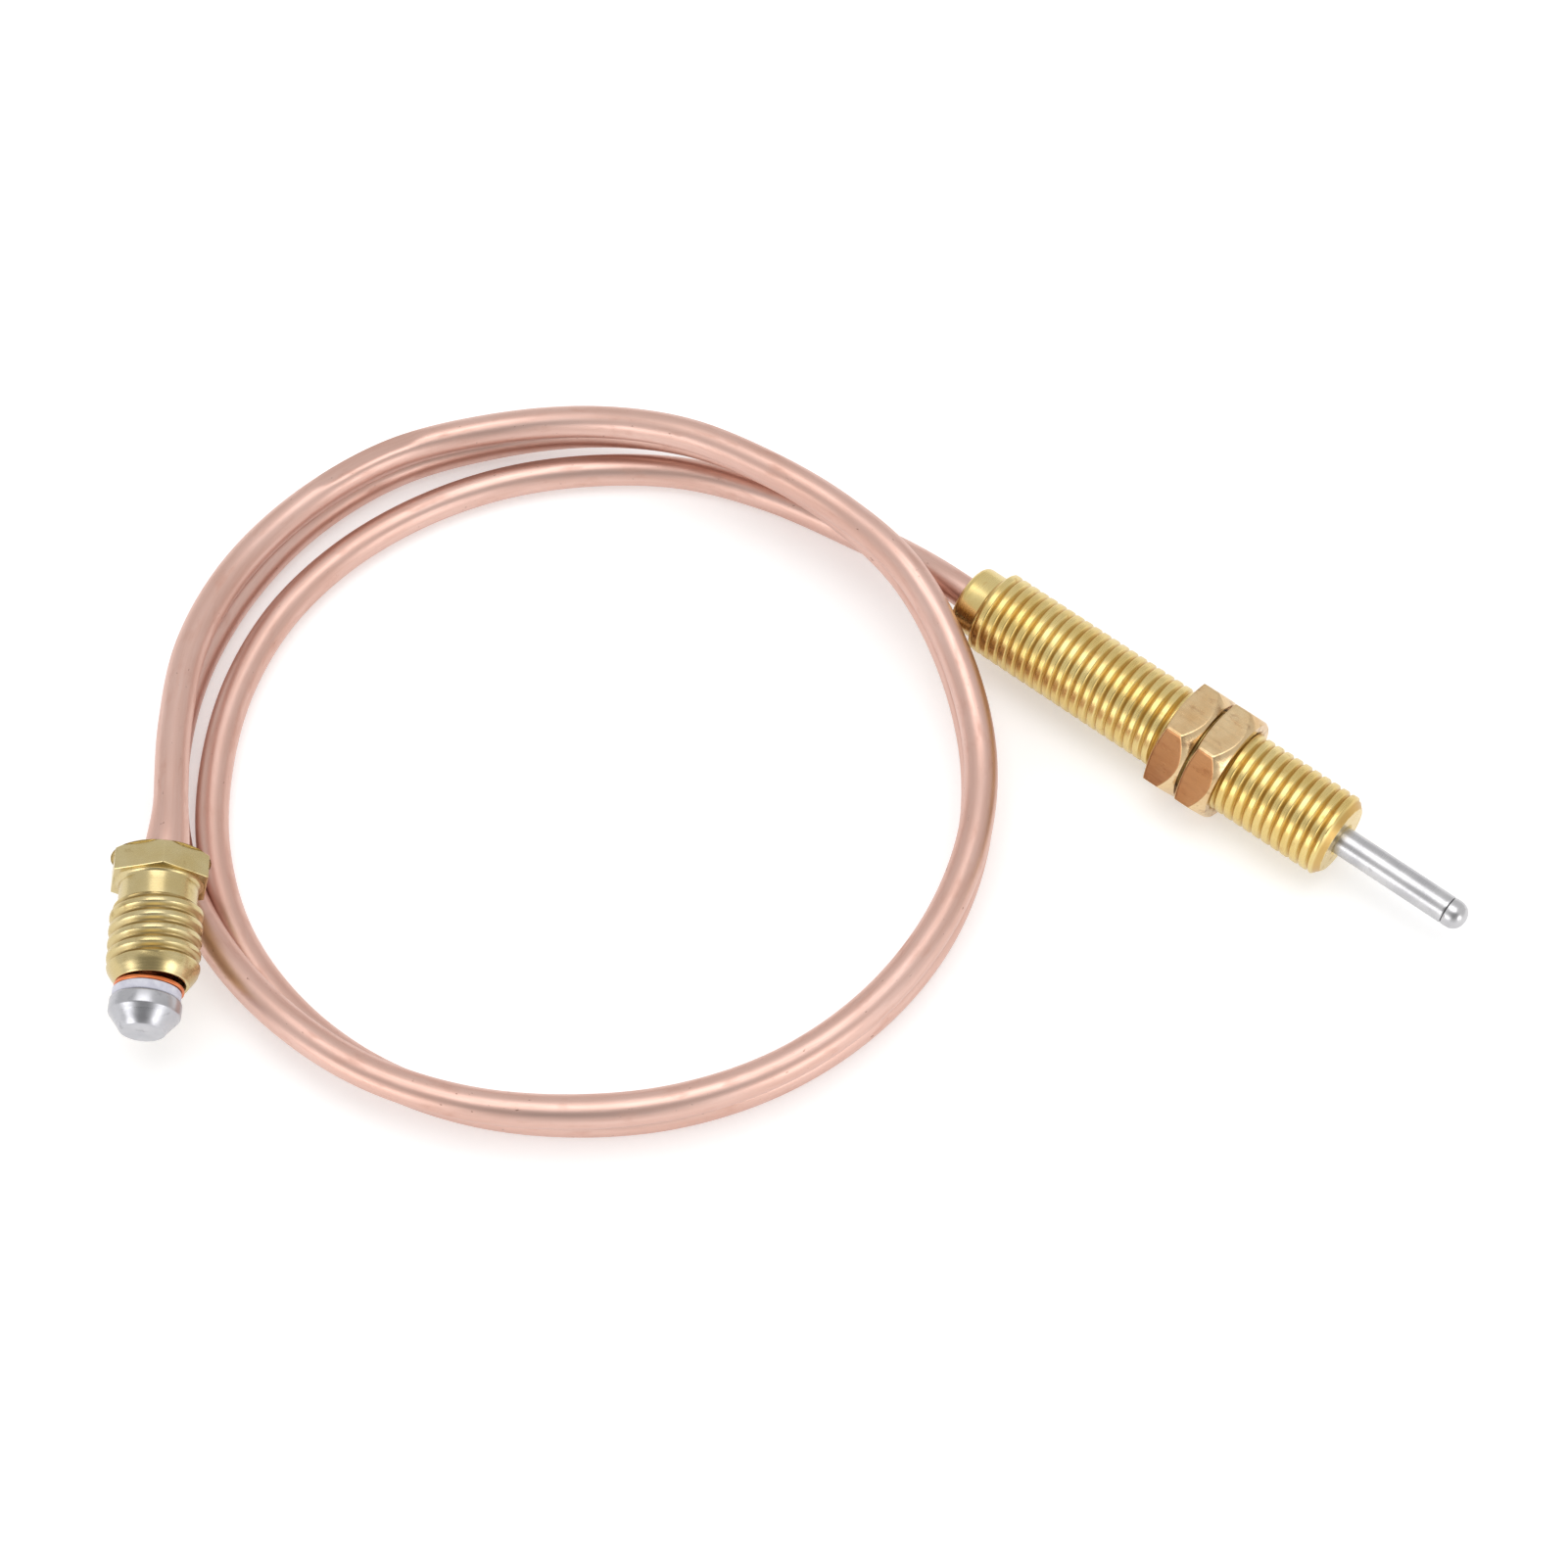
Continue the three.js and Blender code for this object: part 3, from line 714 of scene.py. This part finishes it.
def make_tip():
    def tube_outline(angle):
        start = SLEEVE_FRONT - TIP_INSIDE_SLEEVE
        return [
            (start, TIP_RADIUS - TIP_WALL), (start, TIP_RADIUS),
            (HEAD_TIP - 2.1, TIP_RADIUS), (HEAD_TIP - 2.0, TIP_RADIUS + 0.015),
            (TUBE_END, TIP_RADIUS - 0.03), (TUBE_END, TIP_RADIUS - TIP_WALL),
        ]

    def weld_outline(angle):
        start = WELD_START
        swell = 0.02 * math.sin(3 * angle) + 0.012 * math.sin(7 * angle + 1)
        rows = [(start, 0.0), (start, TIP_RADIUS - 0.12), (start + 0.06, TIP_RADIUS - 0.02)]
        rows += [(start + 0.3, TIP_RADIUS + 0.01 + swell * 0.4)]
        for i in range(1, WELD_ROWS):
            turn = math.radians(90 * i / WELD_ROWS)
            rows.append((
                HEAD_TIP - WELD_BLUNTNESS + WELD_BLUNTNESS * math.sin(turn),
                (TIP_RADIUS + swell * 0.5) * math.cos(turn) ** 0.85))
        rows.append((HEAD_TIP, 0.0))
        return rows

    tube = swept_round(
        "hot_tip", full_turn(TIP_SIDES), tube_outline, hot_steel, "head_and_lead", HEAD_FRAME)
    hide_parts("hot_tip_tube")
    weld = swept_round(
        "hot_junction", full_turn(TIP_SIDES), weld_outline, hot_steel, "head_and_lead",
        HEAD_FRAME, None, 50.0)
    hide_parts("hot_junction_weld")


NUT_FACE_RADIUS = 4.85
REAR_SLOPE = math.tan(math.radians(20))  # chamfers of the lock nuts' rear and front faces
FRONT_SLOPE = math.tan(math.radians(52))
NUT_BORE = SLEEVE_CREST - 0.1
NUT_BORE_CHAMFER = 0.3
NUT_CORNER_ROUNDING = 0.12


def make_lock_nut(name, node, body):
    start, end = span_x(node)

    def outline(angle):
        reach = hex_radius(angle, NUT_ACROSS_FLATS, NUT_CORNER_ROUNDING)
        rear = chamfer_rows(start, reach, NUT_FACE_RADIUS, REAR_SLOPE, 1)
        front = chamfer_rows(end, reach, NUT_FACE_RADIUS, FRONT_SLOPE, -1)
        sink = NUT_BORE + NUT_BORE_CHAMFER
        rows = [(start + 0.35, NUT_BORE), (start + 0.04, sink), (start, sink + 0.05)]
        rows += rear + list(reversed(front))
        rows += [(end, sink + 0.05), (end - 0.04, sink), (end - 0.35, NUT_BORE)]
        return rows

    nut = swept_round(name, hex_angles(), outline, nut_brass, body, HEAD_FRAME)
    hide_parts(node)


make_sleeve()
make_tip()
make_lock_nut("rear_lock_nut", "lock_nut_rear", "rear_lock_nut")
make_lock_nut("front_lock_nut", "lock_nut_front", "front_lock_nut")


# ---------------------------------------------------------------- union nut and contact

# Stations are millimetres along the nut's or the contact's axis, from the front of the nut's flange.
UNION_ACROSS_FLATS = 8.0
UNION_CORNER_ROUNDING = 0.06
UNION_FLANGE = 2.3
UNION_FACE_RADIUS = 4.2
UNION_SLOPE = math.tan(math.radians(31))
UNION_CORNER_TILT = 13
UNION_NECK_RADIUS = 3.4
UNION_NECK_FILLET = 0.42
UNION_NECK_END = 2.3
UNION_CREST = 4.0
UNION_PITCH = 1.25
UNION_DEPTH = 0.46
UNION_GROOVE = 0.8
UNION_THREAD_END = 8.0
UNION_NOSE = [(8.4, 3.86), (8.8, 3.62), (9.15, 3.36), (9.35, 3.22)]
UNION_NOSE_END = 9.5
UNION_NOSE_RADIUS = 3.1
UNION_BORE = 2.6
UNION_MOUTH = 2.93
UNION_MOUTH_START = 8.9
FERRULE_BACK = -1.9
FERRULE_BORE = 1.55
FERRULE_FRONT = 10.06
LIP_RADIUS = 2.88
LIP_BULGE = 0.24  # how much further the lip reaches on its +Y side
WASHER_BACK = 10.1
WASHER_FRONT = 11.0
WASHER_RADIUS = 2.95
WASHER_ROUNDING = 0.15
BUTTON_BACK = 11.05
BUTTON_SHOULDER = 12.3
BUTTON_RADIUS = 3.1
BUTTON_FLAT = 2.0
CONTACT_BORE = 0.6
CONTACT_SIDES = 72
FERRULE_SIDES = 64


def make_union_nut():
    def run_out(x):
        rear = UNION_NECK_RADIUS + 0.08 + (x - UNION_NECK_END) * 1.3
        front = UNION_CREST + 0.02 + (UNION_THREAD_END - x) * 0.4
        return min(rear, front)

    def outline(angle):
        reach = hex_radius(angle, UNION_ACROSS_FLATS, UNION_CORNER_ROUNDING)
        rows = [(-UNION_FLANGE + 0.3, UNION_BORE), (-UNION_FLANGE, UNION_BORE + 0.3)]
        rows += chamfer_rows(-UNION_FLANGE, reach, UNION_FACE_RADIUS, UNION_SLOPE, 1)
        rows += [(-0.2, reach), (-0.06, reach), (-0.01, reach - 0.05), (0.0, reach - 0.15)]
        rows += [(0.0, UNION_NECK_RADIUS + 0.5)]
        rows += arc(
            UNION_NECK_FILLET, UNION_NECK_RADIUS + UNION_NECK_FILLET, UNION_NECK_FILLET, 180, 270, 8)
        rows += [(0.9, UNION_NECK_RADIUS), (UNION_NECK_END - 0.05, UNION_NECK_RADIUS)]
        rows += thread_rows(
            angle, UNION_NECK_END, UNION_THREAD_END, UNION_PITCH, UNION_CREST, UNION_DEPTH,
            UNION_GROOVE, run_out)
        rows += [(UNION_THREAD_END + 0.1, UNION_CREST - 0.06)]
        rows += UNION_NOSE
        rows += arc(UNION_NOSE_END - 0.1, UNION_NOSE_RADIUS - 0.02, 0.1, 45, 0, 3)
        rows += [(UNION_NOSE_END, UNION_MOUTH), (UNION_MOUTH_START, UNION_BORE)]
        return rows

    def groove(x, radius):
        if not UNION_NECK_END < x < UNION_THREAD_END:
            return 0.0
        return min(max((UNION_CREST - radius) / UNION_DEPTH, 0.0), 1.0)

    turn = Matrix.Rotation(math.radians(30 - UNION_CORNER_TILT), 4, "X")
    nut = swept_round(
        "union_nut_m8", hex_angles(), outline, olive_brass, "union_nut", UNION_FRAME @ turn, groove)
    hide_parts("union_nut")
    return nut


def make_ferrule():
    def outline(angle):
        lip = LIP_RADIUS + LIP_BULGE * max(math.cos(angle), 0.0) ** 2
        return [
            (FERRULE_BACK, FERRULE_BORE), (FERRULE_BACK, FLARE_RADIUS),
            (8.95, FLARE_RADIUS), (9.15, 2.05), (9.6, 2.5),
            (9.66, lip - 0.2), (9.7, lip - 0.06), (9.78, lip), (10.0, lip),
            (FERRULE_FRONT, lip - 0.06), (FERRULE_FRONT, FERRULE_BORE),
        ]

    ferrule = swept_round(
        "end_ferrule", full_turn(FERRULE_SIDES), outline, copper_fitting, "head_and_lead",
        CONTACT_FRAME)
    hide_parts("contact_ferrule")
    return ferrule


def make_washer():
    def outline(angle):
        wave = 0.03 * math.sin(2 * angle) + 0.02 * math.sin(5 * angle)
        shoulder = WASHER_RADIUS + wave - WASHER_ROUNDING
        rows = [(WASHER_BACK, CONTACT_BORE), (WASHER_BACK, shoulder)]
        rows += arc(WASHER_BACK + WASHER_ROUNDING, shoulder, WASHER_ROUNDING, 180, 90, 4)
        rows += arc(WASHER_FRONT - WASHER_ROUNDING, shoulder, WASHER_ROUNDING, 90, 0, 4)
        rows += [(WASHER_FRONT, CONTACT_BORE)]
        return rows

    washer = swept_round(
        "contact_washer", full_turn(CONTACT_SIDES), outline, washer_pale, "head_and_lead",
        CONTACT_FRAME)
    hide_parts("insulating_washer")
    return washer


def make_button():
    def outline(angle):
        rows = [(BUTTON_BACK, CONTACT_BORE), (BUTTON_BACK, BUTTON_RADIUS - 0.25)]
        rows += arc(BUTTON_BACK + 0.2, BUTTON_RADIUS - 0.2, 0.2, 180, 90, 5)
        rows += arc(BUTTON_SHOULDER - 0.14, BUTTON_RADIUS - 0.35, 0.35, 90, 45, 5)
        rows += [(12.9, 2.62), (13.4, 2.24)]
        rows += arc(BUTTON_STATION - 0.35, BUTTON_FLAT - 0.28, 0.35, 45, 0, 5)
        rows += [(BUTTON_STATION, 1.2), (BUTTON_STATION - 0.01, 0.5), (BUTTON_STATION - 0.05, 0.34)]
        rows += [(BUTTON_STATION - 0.13, 0.16), (BUTTON_STATION - 0.15, 0.0)]
        rows += [(BUTTON_BACK + 0.5, 0.0)]
        return rows

    button = swept_round(
        "contact_end", full_turn(CONTACT_SIDES), outline, tinned, "head_and_lead", CONTACT_FRAME)
    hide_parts("contact_button")
    return button


lead_pieces = [make_union_nut(), make_ferrule(), make_washer(), make_button()]


# ---------------------------------------------------------------- inner pieces, kept from the CAD

INNER_MATERIALS = {
    "constantan_element": constantan,
    "tip_insulation": glass_braid,
    "junction_coupling": yellow_brass,
    "splice_crimp": yellow_brass,
    "splice_insulation": glass_braid,
    "lead_insulation": glass_braid,
    "lead_wire": copper_fitting,
}
for node, material in INNER_MATERIALS.items():
    kept = frame["nodes"][node]
    kept.data.materials.clear()
    kept.data.materials.append(material)
lead_pieces += [frame["nodes"]["lead_insulation"], frame["nodes"]["lead_wire"]]

lead_length = sum((b - a).length for a, b in zip(lead_path, lead_path[1:]))
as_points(lead_path)


# ---------------------------------------------------------------- floor and light

WHITE = (1.0, 1.0, 1.0, 1.0)
FLOOR_HALF = 1.5  # metres
FLOOR_DROP = 0.00002
FLOOR_GREY = 0.8
FLOOR_GLOW = 0.38
ROOM_LEVEL = 0.8
GAP_LEVEL = 0.3
GAP_ELEVATION = 50
GAP_INNER = 20  # degrees from the gap's middle, where the room's brightness starts and stops rising
GAP_OUTER = 38


def make_floor():
    graph = bmesh.new()
    corners = [
        graph.verts.new((x * FLOOR_HALF, y * FLOOR_HALF, -FLOOR_DROP))
        for x, y in ((-1, -1), (1, -1), (1, 1), (-1, 1))]
    graph.faces.new(corners)
    mesh = bpy.data.meshes.new("floor")
    graph.to_mesh(mesh)
    graph.free()
    nodes = Nodes("floor_white")
    nodes.shader.inputs["Base Color"].default_value = (FLOOR_GREY, FLOOR_GREY, FLOOR_GREY, 1.0)
    nodes.shader.inputs["Emission Color"].default_value = WHITE
    nodes.shader.inputs["Emission Strength"].default_value = FLOOR_GLOW
    nodes.shader.inputs["Roughness"].default_value = 0.7
    nodes.shader.inputs["Specular IOR Level"].default_value = 0.1
    mesh.materials.append(nodes.material)
    floor = bpy.data.objects.new("floor", mesh)
    bpy.context.scene.collection.objects.link(floor)


def make_softbox(name, azimuth, elevation, distance, side, radiance):
    """A square area light that faces the middle of the view, with the given brightness."""
    data = bpy.data.lights.new(name, "AREA")
    data.shape = "RECTANGLE"
    data.size = side
    data.size_y = side
    data.energy = radiance * math.pi * side * side
    light = bpy.data.objects.new(name, data)
    bpy.context.scene.collection.objects.link(light)
    toward = direction(azimuth, elevation)
    light.location = VIEW_TARGET + toward * distance
    light.rotation_mode = "QUATERNION"
    light.rotation_quaternion = toward.to_track_quat("Z", "Y")


def make_world():
    """A pale room with a darker gap overhead on the side that the object is seen from."""
    world = bpy.data.worlds.new("studio")
    bpy.context.scene.world = world
    world.use_nodes = True
    tree = world.node_tree
    background = tree.nodes["Background"]
    ray = tree.nodes.new("ShaderNodeTexCoord").outputs["Generated"]
    aim = tree.nodes.new("ShaderNodeVectorMath")
    aim.operation = "DOT_PRODUCT"
    tree.links.new(ray, aim.inputs[0])
    aim.inputs[1].default_value = direction(VIEW_AZIMUTH, GAP_ELEVATION)
    gap = tree.nodes.new("ShaderNodeMapRange")
    gap.interpolation_type = "SMOOTHSTEP"
    gap.inputs["From Min"].default_value = math.cos(math.radians(GAP_OUTER))
    gap.inputs["From Max"].default_value = math.cos(math.radians(GAP_INNER))
    gap.inputs["To Min"].default_value = ROOM_LEVEL
    gap.inputs["To Max"].default_value = GAP_LEVEL
    tree.links.new(aim.outputs["Value"], gap.inputs["Value"])
    tree.links.new(gap.outputs["Result"], background.inputs["Strength"])
    background.inputs["Color"].default_value = WHITE


make_floor()
make_world()
make_softbox("top_softbox", VIEW_AZIMUTH, elevation=92, distance=0.8, side=0.6, radiance=1.8)
make_softbox("left_softbox", VIEW_AZIMUTH - 42, elevation=14, distance=0.7, side=0.3, radiance=2.4)
make_softbox("right_softbox", VIEW_AZIMUTH + 42, elevation=16, distance=0.7, side=0.3, radiance=2.4)

bpy.context.scene.view_settings.view_transform = "Standard"
bpy.context.scene.view_settings.look = "None"
bpy.context.scene.view_settings.exposure = 0.0
